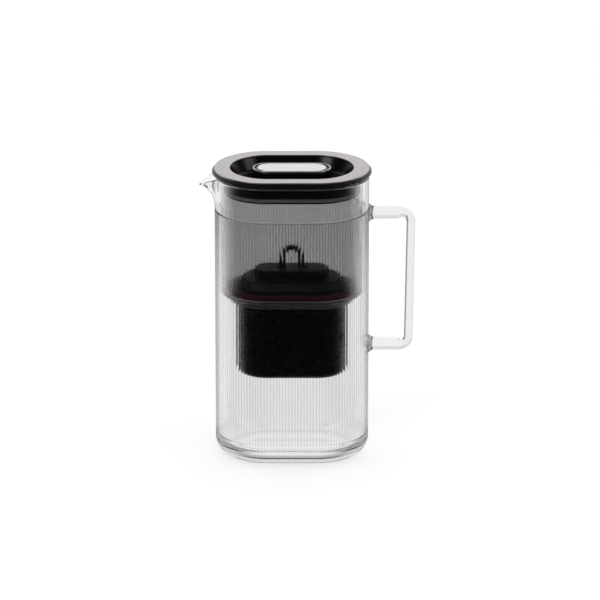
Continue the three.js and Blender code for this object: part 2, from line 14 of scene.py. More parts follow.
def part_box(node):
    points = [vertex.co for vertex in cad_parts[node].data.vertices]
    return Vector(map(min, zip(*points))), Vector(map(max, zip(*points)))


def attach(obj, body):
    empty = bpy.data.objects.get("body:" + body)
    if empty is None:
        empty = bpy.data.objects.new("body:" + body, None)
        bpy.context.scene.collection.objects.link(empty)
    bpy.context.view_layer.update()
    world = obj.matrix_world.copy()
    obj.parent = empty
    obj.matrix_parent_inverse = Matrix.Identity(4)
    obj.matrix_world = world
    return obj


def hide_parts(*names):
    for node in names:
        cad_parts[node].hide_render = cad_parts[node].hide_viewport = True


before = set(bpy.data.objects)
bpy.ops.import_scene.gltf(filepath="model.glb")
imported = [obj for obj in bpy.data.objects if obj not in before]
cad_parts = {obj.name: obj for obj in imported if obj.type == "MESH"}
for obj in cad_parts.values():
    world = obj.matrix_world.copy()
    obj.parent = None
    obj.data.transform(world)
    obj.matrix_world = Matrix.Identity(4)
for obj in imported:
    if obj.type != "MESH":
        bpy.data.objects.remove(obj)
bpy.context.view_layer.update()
scene = bpy.context.scene
scene.view_settings.view_transform = "Standard"
scene.cycles.max_bounces = 24
scene.cycles.glossy_bounces = 12
scene.cycles.transmission_bounces = 20

MM = 0.001

# Steps that make the surfaces smooth
CORNER_STEPS = 6
BODY_COLUMNS = 320
GRIP_COLUMNS = 160
HOLLOW_ROWS = 4
FOOT_ROWS = 12
WALL_ROWS = 4
HEAD_ROWS = 19
COLLAR_ROWS = 13
RIM_ROWS = 8
INSIDE_ROWS = 12
INNER_FOOT_ROWS = 10
CROWN_ROWS = 5
ARM_ROWS = 9
BEND_ROWS = 17
BAR_COLUMNS = 48
LOOP_SIDE_ROWS = 12
LOOP_HEAD_ROWS = 33
LOOP_CORNER_COLUMNS = 5
PILL_CROWN_ROWS = 8
SHARP_ANGLE = math.radians(32)
EDGE_SUPPORT = 0.35 * MM
LONG_STRETCH = 4 * EDGE_SUPPORT
LARGEST_ROUND_SHARE = 0.49
WELD_DISTANCE = 0.002 * MM

# Edge roundings that the pieces share
CRISP_EDGE = 0.1 * MM
FINE_EDGE = 0.2 * MM
SMALL_EDGE = 0.3 * MM
PLAIN_EDGE = 0.4 * MM
FULL_EDGE = 0.5 * MM
WIDE_EDGE = 0.6 * MM
SOFT_EDGE = 0.8 * MM

# Glass body
GLASS_WALL = 3 * MM
GLASS_FLOOR = 9.5 * MM
FOOT_ROUND = 17.5 * MM
BASE_HOLLOW = 1.1 * MM
FLOOR_CROWN = 0.9 * MM
SEAM_DEPTH = 0.25 * MM
SEAM_HALF_WIDTH = 0.4 * MM
RIM_ROUND = 1.45 * MM

# Its ribs: their section as (share of the pitch, share of the depth), and the step over their heads
RIB_COUNT = 140
RIB_SECTION = (
    (0.0, 1.0), (0.05, 0.8), (0.13, 0.28), (0.25, 0.08),
    (0.5, 0.0), (0.75, 0.08), (0.87, 0.28), (0.95, 0.8),
)
RIB_DEPTH = 0.075 * MM
RIB_SCALLOP = 0.9 * MM
RIB_TOP_BELOW_RIM = 34.6 * MM
RIB_FOOT_POWER = 0.6
HEAD_STEP = 0.7 * MM
HEAD_STEP_RISE = 0.55 * MM
HEAD_STEP_RUN = 1.8 * MM

# Painted shade on the body's glass, on the reeds, in the grooves and in the line at the heads, which stands
# in for the dark lines that refraction draws there, and the glass's tone by painted shade
REED_PAINTED_SHADE = 0.12
GROOVE_PAINTED_SHADE = 0.5
HEAD_PAINTED_SHADE = 0.95
PAINTED_HEAD_LINE = 0.5 * MM
PAINTED_SHADE_TONES = ((0.0, 0.98), (0.12, 0.88), (0.5, 0.6), (1.0, 0.02))

# Spout
SPOUT_ROOT_BELOW_RIM = 36.6 * MM
SPOUT_DROOP = 9.5 * MM
SPOUT_HALF_WIDTH = 22 * MM
SPOUT_SHARPNESS = 1.25
SPOUT_RISE_POWER = 3

# Glass handle
HANDLE_TOP_BELOW_RIM = 38.3 * MM
HANDLE_HEIGHT = 142.7 * MM
HANDLE_LEAN = 2.2 * MM
HANDLE_TOP_BEND = 12.7 * MM
HANDLE_BOTTOM_BEND = 9.7 * MM
BAR_THICKNESS = 8.6 * MM
BAR_SIDE_INSET = 2.5 * MM
ARM_THICKNESS = 12.6 * MM
BAR_SQUARENESS = 0.92
FOOT_LENGTH = 6 * MM
FOOT_FLARE = 3 * MM
FOOT_FLARE_POWER = 2.2
FOOT_EMBED = 0.5 * MM

# Hopper, its well and neck
HOPPER_WALL = 2.2 * MM
HOPPER_ROUND = 5 * MM
HOPPER_GAP = 3.6 * MM
HOPPER_DRAFT = 0.6 * MM
HOPPER_HANG = 123 * MM
FLANGE_THICKNESS = 1.6 * MM
WELL_DEPTH = 5 * MM
WELL_FLARE = 2.4 * MM
WELL_MOUTH_ROUND = 1 * MM
WELL_FOOT_ROUND = 1.2 * MM
NECK_WALL = 1.8 * MM
# Heights above the hopper's foot over which the painted shade of its floor, well and neck fades out
NECK_SHADE_START = 2.75 * MM
NECK_SHADE_END = 5.5 * MM
POUR_NOTCH_WIDTH = 30 * MM
POUR_NOTCH_END = 1.5 * MM
SEAT_GAP = 0.3 * MM

# Cartridge cup, case, seal and cap
CUP_WALL = 2 * MM
CUP_ROUND = 6 * MM
CUP_FLANGE_WIDTH = 5.1 * MM
CUP_FLANGE_THICKNESS = 1.5 * MM
OUTLET_COUNT = 7
OUTLET_PITCH = 10 * MM
OUTLET_SIZE = (3 * MM, 26 * MM)
CASE_WALL = 1.6 * MM
CASE_FLANGE_WIDTH = 2.2 * MM
CASE_FLANGE_THICKNESS = 1.4 * MM
SEAL_BEAD = 0.7 * MM
SEAL_WIDTH = 2.7 * MM
CAP_SKIRT_HEIGHT = 2.5 * MM
CAP_SHOULDER_RISE = 9.6 * MM
CAP_SHOULDER_INSET = 5.3 * MM
CAP_TOP_RISE = 8.8 * MM
CAP_TOP_END_INSET = 2.6 * MM
CAP_TOP_SIDE_INSET = 9.1 * MM
CAP_WALL = 1.6 * MM
CAP_ROUND = 2 * MM
INLET_COUNT = 6
INLET_PITCH = 9 * MM
INLET_SIZE = (2.4 * MM, 4 * MM)
LOOP_HALF_WIDTH = 11 * MM
LOOP_FOOT_HALF_WIDTH = 20 * MM
LOOP_HOLE_HALF_WIDTH = 7 * MM
LOOP_BAND = 4.4 * MM
LOOP_THICKNESS = 6 * MM
LOOP_EDGE_ROUND = 1.1 * MM

# Lid, its trim, grip, liner and seal
TRIM_ROUND = 0.55 * MM
TRIM_INSET = 1.2 * MM
TRIM_SIDE_WIDTH = 14.5 * MM
TRIM_END_WIDTH = 16.6 * MM
LIP_INSET = 0.7 * MM
LIP_TOP_ROUND = 0.35 * MM
LID_BEVEL_DROP = 1.4 * MM
BOWL_SLOPE = 6.5 * MM
BOWL_ROUND = 5 * MM
BOWL_DROP = 14 * MM
LID_WALL = 2.2 * MM
GRIP_FOOT_ROUND = 2.5 * MM
BEZEL_WIDTH = 1.1 * MM
BEZEL_ROUND = 0.45 * MM
BEZEL_DROP = 0.3 * MM
PILL_INSET = 0.7 * MM
PILL_END_GAP = 2.2 * MM
PILL_CROWN = 0.3 * MM
LINER_THICKNESS = 1.5 * MM
LINER_INSET = 1 * MM
SKIRT_DEPTH = 14.3 * MM
LID_SEAL_LIP = 0.8 * MM

# Glass and smoked plastic: tones, refraction, and noises as (grain, detail, stretch)
GLASS_REFRACTION = 1.474
GLASS_WAVE = (26 * MM, 0.0, (1, 1, 0.45))
BODY_TINT = "#FDFDFD"
BODY_RIPPLE = 0.05 * MM
BAR_TINT = "#F2F3F3"
BAR_RIPPLE = 0.03 * MM
SMOKE_REFRACTION = 1.54
SMOKE_TONES = ("#CDCBCA", "#C8C6C7")
# Darker grey of the painted shade in the hopper's floor, well and neck
NECK_PAINTED_SHADE = "#6A666C"
SMOKE_DRIFT = (30 * MM, 2.0, (1, 1, 0.5))
SMOKE_FLOW = (18 * MM, 0.0, (1, 1, 0.4))
SMOKE_FLOW_DEPTH = 0.02 * MM

# Plastics and rubbers: two tones, range of roughness, grain, its depth, and specular level
SILICONE = ((0.5, 0.68), 0.8 * MM, 0.02 * MM, 0.35)
MOULDED = {
    "moulded_black_abs": (("#050506", "#08080A"), (0.22, 0.32), 0.5 * MM, 0.004 * MM, 0.3),
    "moulded_charcoal_polypropylene": (("#121314", "#17181A"), (0.36, 0.48), 0.5 * MM, 0.008 * MM, 0.35),
    "moulded_gloss_black_abs": (("#050505", "#070708"), (0.18, 0.28), 0.4 * MM, 0.002 * MM, 0.35),
    "moulded_black_polypropylene": (("#060607", "#0A0A0B"), (0.3, 0.42), 0.5 * MM, 0.008 * MM, 0.5),
    "moulded_red_silicone": (("#4C0A17", "#581220"), *SILICONE),
    "moulded_grey_silicone": (("#8E8C8A", "#979593"), *SILICONE),
}
MOULDED_DRIFT = (22 * MM, 5.0)
MOULDED_WEAR = (6 * MM, 6.0)
MOULDED_GRAIN_DETAIL = 2.0
SILICONE_SHEEN = 0.15

# Metals: two tones and range of roughness
METALS = {
    "anodised_grey_aluminium": (("#C5C0C2", "#CBC6C8"), (0.34, 0.44)),
    "polished_steel_frame": (("#D8D7D6", "#DEDDDC"), (0.1, 0.16)),
    "bead_blasted_aluminium_pill": (("#E4E2E3", "#E8E7E7"), (0.28, 0.36)),
}
METAL_DRIFT = (30 * MM, 4.0)
METAL_WEAR = (3 * MM, 6.0)
METAL_GRAIN = (0.25 * MM, 1.0)
METAL_GRAIN_DEPTH = 0.004 * MM

# Screens and filter bed. A wave pattern draws 3.2 bands per unit of its scale
SCREEN_PITCH = 0.6 * MM
SCREEN_TONES = ("#8F8D86", "#EFEDE6")
SCREEN_ROUGHNESS = 0.75
THREAD_HEIGHT = 0.15 * MM
BANDS_PER_SCALE = 3.2
GRANULE_SIZE = 1.1 * MM
GRANULE_TONES = ("#1C1B1A", "#C9BFA6")
GRANULE_ROUGHNESS = 0.9
GRANULE_DEPTH = 0.5 * MM
CARBON_SHARE = 0.72
NOISE_MIDDLE = (0.3, 0.7)

# Camera, worked out from the photograph's perspective at 600 by 600
IMAGE_SIZE = 600
CAMERA_DISTANCE = 5.0
CAMERA_ELEVATION = math.radians(19.7)
CAMERA_TARGET = (0.0081, 0.0, 0.161)
CAMERA_PIXELS_PER_RADIAN = 4991
SENSOR_WIDTH = 36

# Studio: its level for diffuse light, its brightness by height and from left to right for light that comes
# straight through glass, and its brightness from front to back for reflections
PLAIN_LEVEL = 0.8
CLEAR_TENT = ((0.0, 1.0), (0.06, 1.0), (0.15, 0.05), (0.8, 0.05), (0.9, 0.9))
CLEAR_SIDES_TENT = ((0.0, 0.6), (0.3, 0.75), (0.37, 1.0), (0.61, 1.0), (0.66, 0.2), (1.0, 0.2))
MIRROR_TENT = ((0.0, 0.01), (0.6, 0.04), (0.74, 0.4), (0.86, 0.95), (1.0, 1.0))
LOW_MIRROR_TENT = (
    (0.0, 0.01), (0.3, 0.03), (0.42, 0.1), (0.47, 0.2), (0.57, 0.6), (0.64, 1.0), (0.72, 1.2), (0.84, 1.0),
    (0.96, 0.52),
)
STEEP = (-0.6, -0.9)
STEEP_LEVEL = 0.4
HORIZON = (-0.04, 0.04)
ONE_WALL_STEPS = (3.4, 3.6)
WHITE = (1, 1, 1, 1)

# Floor: its colour and size, and its own light close to the jug and far from it
FLOOR_COLOUR = "#B4B4B4"
FLOOR_HALF_SIZE = 6.0
FLOOR_GLOW = 0.57
FLOOR_FAR_GLOW = 0.66
FLOOR_FAR = (0.6, 2.6)

# Soft boxes: place, target, size, power, and whether gloss reflects them
SOFT_BOXES = {
    "key_soft_box": ((-1.1, -1.3, 1.5), (0, 0, 0.12), (0.9, 0.9), 8, True),
    "fill_soft_box": ((1.4, -0.6, 1.1), (0, 0, 0.12), (0.9, 0.9), 4, True),
    "top_soft_box": ((0.0, 0.2, 1.9), (0, 0, 0.2), (1.2, 0.8), 4, False),
}


def stadium_of(node):
    """The radius, half straight side, foot and top of a node, read from its box on the handle's side."""
    low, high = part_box(node)
    return high[1], high[0] - high[1], low[2], high[2]


BODY_RADIUS, BODY_HALF, BODY_FOOT, RIM_HEIGHT = stadium_of("glass_body")
CAVITY_RADIUS = BODY_RADIUS - GLASS_WALL
RIB_TOP = RIM_HEIGHT - RIB_TOP_BELOW_RIM
SPOUT_ROOT = RIM_HEIGHT - SPOUT_ROOT_BELOW_RIM
SPOUT_REACH = -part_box("glass_body")[0][0] - BODY_HALF - BODY_RADIUS
HOPPER_FOOT = RIM_HEIGHT - HOPPER_HANG
HANDLE_TOP = RIM_HEIGHT - HANDLE_TOP_BELOW_RIM
HANDLE_BOTTOM = HANDLE_TOP - HANDLE_HEIGHT
BAR_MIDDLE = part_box("glass_handle")[1][0] - BAR_THICKNESS / 2
BAR_DEPTH = 2 * (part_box("glass_handle")[1][1] - BAR_SIDE_INSET)


def eased(share):
    """A share from 0 to 1 with a level start and end."""
    share = np.clip(share, 0, 1)
    return share * share * (3 - 2 * share)


def bell(share):
    """A raised cosine: 1 where the share is 0, and 0 from where it is 1."""
    return (1 + np.cos(math.pi * np.clip(share, 0, 1))) / 2


def outline_at(turn):
    """Places at the given shares of a full turn round the body's outline, from the middle of the handle end.

    Half a turn is a half circle of length pi * radius and a straight side. A place is the share of the half
    straight side it stands on, from -1 to 1, and the direction (x, y) it faces.
    """
    half_turn = math.pi * BODY_RADIUS
    half_way = half_turn + 2 * BODY_HALF
    travelled = (turn * 2 * half_way + half_turn / 2) % (2 * half_way)
    second = travelled >= half_way
    local = np.where(second, travelled - half_way, travelled)
    on_round = local < half_turn
    angle = np.where(on_round, local / BODY_RADIUS - math.pi / 2, math.pi / 2)
    along = np.where(on_round, 1.0, 1.0 - (local - half_turn) / BODY_HALF)
    flip = np.where(second, -1.0, 1.0)
    return along * flip, np.cos(angle) * flip, np.sin(angle) * flip


def rounded(corners, closed=False):
    """A profile with its corners rounded, as rows of (radius, height, half straight side).

    Each corner is (radius, height, rounding, half straight side). One without the last keeps that of the
    corner before it. A rounding is the arc that touches both of the corner's sides, drawn by turning evenly
    from one touching point to the other.
    """
    places = [np.array(corner[:2]) for corner in corners]
    rows = []
    for index, (radius, height, rounding, *changed) in enumerate(corners):
        half = changed[0] if changed else half
        at_end = not closed and index in (0, len(corners) - 1)
        if rounding == 0 or at_end:
            rows.append((radius, height, half))
            continue
        corner = places[index]
        sides = [places[index - 1] - corner, places[(index + 1) % len(corners)] - corner]
        shortest = min(map(np.linalg.norm, sides))
        to_before, to_after = (side / np.linalg.norm(side) for side in sides)
        half_angle = math.acos(np.clip(to_before @ to_after, -1, 1)) / 2
        rounding = min(rounding, LARGEST_ROUND_SHARE * shortest * math.tan(half_angle))
        inward = (to_before + to_after) / np.linalg.norm(to_before + to_after)
        centre = corner + inward * rounding / math.sin(half_angle)
        start, end = (
            corner + way * rounding / math.tan(half_angle) - centre for way in (to_before, to_after)
        )
        turn = math.pi - 2 * half_angle
        for share in np.linspace(0, 1, CORNER_STEPS + 1):
            spoke = (start * math.sin((1 - share) * turn) + end * math.sin(share * turn)) / math.sin(turn)
            rows.append((*(centre + spoke), half))
    return supported(np.array(rows), closed)


def supported(rows, closed):
    """Adds a row close to each end of every long stretch, so that shading stays flat between the corners."""
    following = np.roll(rows, -1, axis=0) if closed else rows[1:]
    result = []
    for index, after in enumerate(following):
        here = rows[index]
        result.append(here)
        length = np.linalg.norm(after[:2] - here[:2])
        if length > LONG_STRETCH:
            share = EDGE_SUPPORT / length
            result.append(here + (after - here) * share)
            result.append(here + (after - here) * (1 - share))
    if not closed:
        result.append(rows[-1])
    return np.array(result)


def carried_round(rows, columns):
    """The grid of a profile carried round the outline: x = along * half + radius * cos, y = radius * sin."""
    along, facing_x, facing_y = outline_at(np.arange(columns) / columns)
    radius, height, half = (rows[:, index, None] for index in range(3))
    x = along * half + radius * facing_x
    y = radius * facing_y
    z = np.broadcast_to(height, x.shape)
    return np.stack((x, y, z), axis=-1)


def add_object(name, data):
    """Puts an object with the given data into the scene."""
    added = bpy.data.objects.new(name, data)
    scene.collection.objects.link(added)
    return added


def add_piece(name, grid, material, body, nodes=(), closed=False, shade=None):
    """Adds a grid of places as a piece that rides on a body and stands for the named nodes.

    The grid's columns close on themselves, and its rows do where closed is set. Rows shrunk to a line are
    welded shut, faces look outwards, and the mesh is smooth up to its sharp edges. The painted shade, if
    there is one, is kept per place for the material to darken its tone by.
    """
    index = np.arange(grid[..., 0].size).reshape(grid.shape[:2])
    index = np.pad(index, ((0, int(closed)), (0, 1)), mode="wrap")
    quads = np.stack((index[:-1, :-1], index[:-1, 1:], index[1:, 1:], index[1:, :-1]), axis=-1)
    mesh = bpy.data.meshes.new(name)
    mesh.from_pydata(grid.reshape(-1, 3).tolist(), [], quads.reshape(-1, 4).tolist())
    if shade is not None:
        kept = mesh.attributes.new("painted_shade", "FLOAT", "POINT")
        kept.data.foreach_set("value", shade.astype(np.float32).ravel())
    work = bmesh.new()
    work.from_mesh(mesh)
    bmesh.ops.remove_doubles(work, verts=work.verts, dist=WELD_DISTANCE)
    bmesh.ops.recalc_face_normals(work, faces=work.faces)
    if work.calc_volume(signed=True) < 0:
        bmesh.ops.reverse_faces(work, faces=work.faces)
    work.to_mesh(mesh)
    work.free()
    mesh.shade_smooth()
    mesh.set_sharp_from_angle(angle=SHARP_ANGLE)
    mesh.materials.append(material)
    piece = add_object(name, mesh)
    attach(piece, body)
    if nodes:
        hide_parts(*nodes)
    return piece


def add_turned(name, corners, material, body, node, closed=False, columns=BODY_COLUMNS):
    """Adds a piece whose rounded profile is carried round the outline, in place of a node."""
    grid = carried_round(rounded(corners, closed), columns)
    return add_piece(name, grid, material, body, [node], closed)


def cut_boxes(piece, boxes):
    """Cuts boxes, each a (size, centre) pair, out of a piece's mesh."""
    work = bmesh.new()
    for size, centre in boxes:
        place = Matrix.LocRotScale(Vector(centre), None, Vector(size))
        bmesh.ops.create_cube(work, size=1.0, matrix=place)
    mesh = bpy.data.meshes.new("cutter")
    work.to_mesh(mesh)
    work.free()
    cutter = add_object("cutter", mesh)
    cut = piece.modifiers.new("cut", "BOOLEAN")
    cut.operation = "DIFFERENCE"
    cut.solver = "EXACT"
    cut.object = cutter
    shape = bpy.data.meshes.new_from_object(piece.evaluated_get(bpy.context.evaluated_depsgraph_get()))
    piece.modifiers.clear()
    piece.data = shape
    shape.set_sharp_from_angle(angle=SHARP_ANGLE)
    bpy.data.objects.remove(cutter)


# Materials

def linear(hex_colour):
    """An sRGB hex colour as linear values, by the sRGB curve."""
    values = [int(hex_colour[index:index + 2], 16) / 255 for index in (1, 3, 5)]
    return tuple(v / 12.92 if v <= 0.04045 else ((v + 0.055) / 1.055) ** 2.4 for v in values) + (1.0,)


def add_node(tree, kind, links=None, **settings):
    """Adds a shader node, sets its properties and input values by name, and links inputs to outputs."""
    node = tree.nodes.new("ShaderNode" + kind)
    for key, value in settings.items():
        if hasattr(node, key):
            setattr(node, key, value)
        else:
            node.inputs[key.replace("_", " ")].default_value = value
    for key, source in (links or {}).items():
        tree.links.new(source, node.inputs[key])
    return node


def new_material(name, **sockets):
    """A material with one Principled shader, whose sockets are set by name."""
    material = bpy.data.materials.new(name)
    material.use_nodes = True
    tree = material.node_tree
    shader = tree.nodes["Principled BSDF"]
    for key, value in sockets.items():
        shader.inputs[key.replace("_", " ")].default_value = value
    return material, tree, shader


def object_places(tree):
    """Places in the object's own coordinates."""
    return add_node(tree, "TexCoord").outputs["Object"]


def noise_of(tree, grain, detail, stretch=(1, 1, 1)):
    """Noise on object coordinates whose features are about one grain (in metres) across."""
    mapping = add_node(tree, "Mapping", {"Vector": object_places(tree)}, Scale=stretch)
    noise = add_node(tree, "TexNoise", {"Vector": mapping.outputs["Vector"]}, Scale=1 / grain, Detail=detail)
    return noise.outputs["Fac"]


def spread(tree, source, low, high, limits=NOISE_MIDDLE):
    """Maps a source evenly from its limits onto the range from low to high."""
    ends = {"From_Min": limits[0], "From_Max": limits[1], "To_Min": low, "To_Max": high}
    return add_node(tree, "MapRange", {"Value": source}, **ends).outputs["Result"]


def maths(tree, operation, *sources, **settings):
    """The result of an operation on one or two outputs."""
    return add_node(tree, "Math", dict(enumerate(sources)), operation=operation, **settings).outputs[0]


def grey_ramp(tree, place, stops):
    """A grey that follows a place from 0 to 1, by the given stops of (place, value)."""
    node = add_node(tree, "ValToRGB", {"Fac": place})
    elements = node.color_ramp.elements
    while len(elements) < len(stops):
        elements.new(0.5)
    for element, (position, value) in zip(elements, stops):
        element.position = position
        element.color = (value, value, value, 1.0)
    return node.outputs["Color"]


def bump(tree, shader, source, height):
    """Raises the surface by a height in metres where the source is 1."""
    raised = add_node(tree, "Bump", {"Height": source}, Distance=height)
    tree.links.new(raised.outputs["Normal"], shader.inputs["Normal"])


def two_tones(tree, shader, source, first, second):
    """Colours the surface from the first tone, a hex colour or an output, to the second, a hex colour."""
    tone = add_node(tree, "Mix", {"Factor": source}, data_type="RGBA")
    if isinstance(first, str):
        tone.inputs["A"].default_value = linear(first)
    else:
        tree.links.new(first, tone.inputs["A"])
    tone.inputs["B"].default_value = linear(second)
    tree.links.new(tone.outputs["Result"], shader.inputs["Base Color"])
    return tone.outputs["Result"]


def worn_surface(tree, shader, tones, roughness, drift, wear, grain, depth):
    """Slow drift between two tones, gloss that varies with wear, and a fine grain of a given depth."""
    two_tones(tree, shader, noise_of(tree, *drift), *tones)
    rough = spread(tree, noise_of(tree, *wear), *roughness)
    tree.links.new(rough, shader.inputs["Roughness"])
    bump(tree, shader, noise_of(tree, *grain), depth)


def borosilicate_glass(name, tint, ripple):
    """Mould-blown borosilicate: clear and faintly grey, with slow ripples that bend what lies behind."""
    material, tree, shader = new_material(
        name, Base_Color=linear(tint), Roughness=0.0, IOR=GLASS_REFRACTION, Transmission_Weight=1.0,
    )
    bump(tree, shader, noise_of(tree, *GLASS_WAVE), ripple)
    return material


def smoked_copolyester():
    """Injection-moulded clear copolyester with a grey smoke dye and slow flow marks, and painted shade that
    darkens its floor, well and neck.
    """
    material, tree, shader = new_material(
        "smoked_copolyester", Roughness=0.0, IOR=SMOKE_REFRACTION, Transmission_Weight=1.0,
    )
    tone = two_tones(tree, shader, noise_of(tree, *SMOKE_DRIFT), *SMOKE_TONES)
    height = add_node(tree, "SeparateXYZ", {"Vector": object_places(tree)}).outputs["Z"]
    # Painted shade: a darker grey from just above the hopper's floor down through the well and neck
    limits = (HOPPER_FOOT + NECK_SHADE_START, HOPPER_FOOT + NECK_SHADE_END)
    neck = spread(tree, height, 1.0, 0.0, limits)
    two_tones(tree, shader, neck, tone, NECK_PAINTED_SHADE)
    bump(tree, shader, noise_of(tree, *SMOKE_FLOW), SMOKE_FLOW_DEPTH)
    return material


def moulded(name):
    """Moulded plastic or rubber: faint tone drift, and the fine grain that the mould's surface left on it."""
    tones, roughness, grain, depth, specular = MOULDED[name]
    material, tree, shader = new_material(name, Specular_IOR_Level=specular)
    fine = (grain, MOULDED_GRAIN_DETAIL)
    worn_surface(tree, shader, tones, roughness, MOULDED_DRIFT, MOULDED_WEAR, fine, depth)
    return material


def moulded_silicone(name):
    """Moulded silicone rubber: matt and soft looking, with a low sheen."""
    material = moulded(name)
    material.node_tree.nodes["Principled BSDF"].inputs["Sheen Weight"].default_value = SILICONE_SHEEN
    return material


def satin_metal(name):
    """Blasted, anodised or polished metal: even, with a very fine grain."""
    material, tree, shader = new_material(name, Metallic=1.0)
    worn_surface(tree, shader, *METALS[name], METAL_DRIFT, METAL_WEAR, METAL_GRAIN, METAL_GRAIN_DEPTH)
    return material


def woven_screen():
    """White polyester mesh: threads one pitch apart, drawn as the higher of two crossing waves."""
    material, tree, shader = new_material("woven_polyester_screen", Roughness=SCREEN_ROUGHNESS)
    scale = 1 / SCREEN_PITCH / BANDS_PER_SCALE
    places = {"Vector": object_places(tree)}
    across, along = (add_node(tree, "TexWave", places, bands_direction=way, Scale=scale) for way in "XY")
    woven = maths(tree, "MAXIMUM", across.outputs["Fac"], along.outputs["Fac"])
    two_tones(tree, shader, woven, *SCREEN_TONES)
    bump(tree, shader, woven, THREAD_HEIGHT)
    return material


def filter_granules():
    """Activated carbon mixed with pale resin beads: round cells, most of them dark and some cream."""
    material, tree, shader = new_material("carbon_and_resin_granules", Roughness=GRANULE_ROUGHNESS)
    cells = add_node(tree, "TexVoronoi", {"Vector": object_places(tree)}, Scale=1 / GRANULE_SIZE)
    mix = add_node(tree, "ValToRGB", {"Fac": cells.outputs["Color"]})
    mix.color_ramp.interpolation = "CONSTANT"
    for element, tone in zip(mix.color_ramp.elements, GRANULE_TONES):
        element.color = linear(tone)
    mix.color_ramp.elements[1].position = CARBON_SHARE
    tree.links.new(mix.outputs["Color"], shader.inputs["Base Color"])
    bump(tree, shader, cells.outputs["Distance"], -GRANULE_DEPTH)
    return material


# Glass body and handle

def spout_share(along, facing_x, facing_y):
    """How much of the spout a place has: a raised cosine of its distance from the middle, to a power."""
    aside = BODY_RADIUS * np.arcsin(np.clip(np.abs(facing_y), 0, 1))
    distance = aside + (along + 1) * BODY_HALF
    inside = (facing_x < 0) & (distance < SPOUT_HALF_WIDTH)
    return np.where(inside, bell(distance / SPOUT_HALF_WIDTH) ** SPOUT_SHARPNESS, 0.0)


def strip(radius, height, ribbed=0.0, rise=0.0, lift=0.0):
    """Rows of the body's profile. Each value is one number or runs along the strip."""
    return np.stack(np.broadcast_arrays(*np.atleast_1d(radius, height, ribbed, rise, lift)), axis=-1)


def quarter(radius, height, size, angle):
    """The radius and height of places on a quarter circle that rises outwards from its foot."""
    return radius + size * np.sin(angle), height + size * (1 - np.cos(angle))


def glass_body_rows():
    """Rows up the outside, over the rim and down the inside, as (radius, height, rib share, rise, lift).

    A rise of 0 is a plain wall, and from the spout's root to the rim it grows to 1. A lift moves a row from
    its place at that rise, which draws the rim as a half circle.
    """
    hollow = np.linspace(0, 1, HOLLOW_ROWS, endpoint=False)
    foot = np.linspace(0, math.pi / 2, FOOT_ROWS)
    heads_foot = RIB_TOP - RIB_SCALLOP - HEAD_STEP_RISE
    heads_top = RIB_TOP + HEAD_STEP_RUN
    wall = np.linspace(FOOT_ROUND, heads_foot, WALL_ROWS)[1:-1]
    heads = np.linspace(heads_foot, heads_top, HEAD_ROWS)
    first_rise = (heads_top - SPOUT_ROOT) / (RIM_HEIGHT - SPOUT_ROOT)
    collar = np.linspace(first_rise, 1, COLLAR_ROWS)[1:-1]
    rim = np.linspace(0, math.pi, RIM_ROWS)
    inside = np.linspace(1, 0, INSIDE_ROWS)[1:-1]
    inner_round = FOOT_ROUND - GLASS_WALL
    round_top = GLASS_FLOOR + inner_round
    inner_wall = np.linspace(SPOUT_ROOT, round_top + SEAM_HALF_WIDTH, WALL_ROWS)
    seam_turn = SEAM_HALF_WIDTH / inner_round
    inner_foot = np.linspace(math.pi / 2 - seam_turn, seam_turn, INNER_FOOT_ROWS)
    outer_edge = BODY_RADIUS - FOOT_ROUND
    floor_edge = CAVITY_RADIUS - inner_round
    crown = np.linspace(1 - SEAM_HALF_WIDTH / floor_edge, 0, CROWN_ROWS)
    return np.concatenate((
        strip(outer_edge * hollow, BODY_FOOT + BASE_HOLLOW * bell(hollow)),
        strip(*quarter(outer_edge, BODY_FOOT, FOOT_ROUND, foot), np.sin(foot) ** RIB_FOOT_POWER),
        strip(BODY_RADIUS, np.append(wall, heads), 1.0),
        strip(BODY_RADIUS, 0.0, rise=collar),
        strip(CAVITY_RADIUS + GLASS_WALL * bell(rim / math.pi), 0.0, 0.0, 1.0, RIM_ROUND * (np.sin(rim) - 1)),
        strip(CAVITY_RADIUS, 0.0, rise=inside),
        strip(CAVITY_RADIUS, inner_wall),
        strip(CAVITY_RADIUS + SEAM_DEPTH, round_top),
        strip(*quarter(floor_edge, GLASS_FLOOR, inner_round, inner_foot)),
        strip(floor_edge, GLASS_FLOOR - SEAM_DEPTH),
        strip(floor_edge * crown, GLASS_FLOOR + FLOOR_CROWN * bell(crown)),
    ))


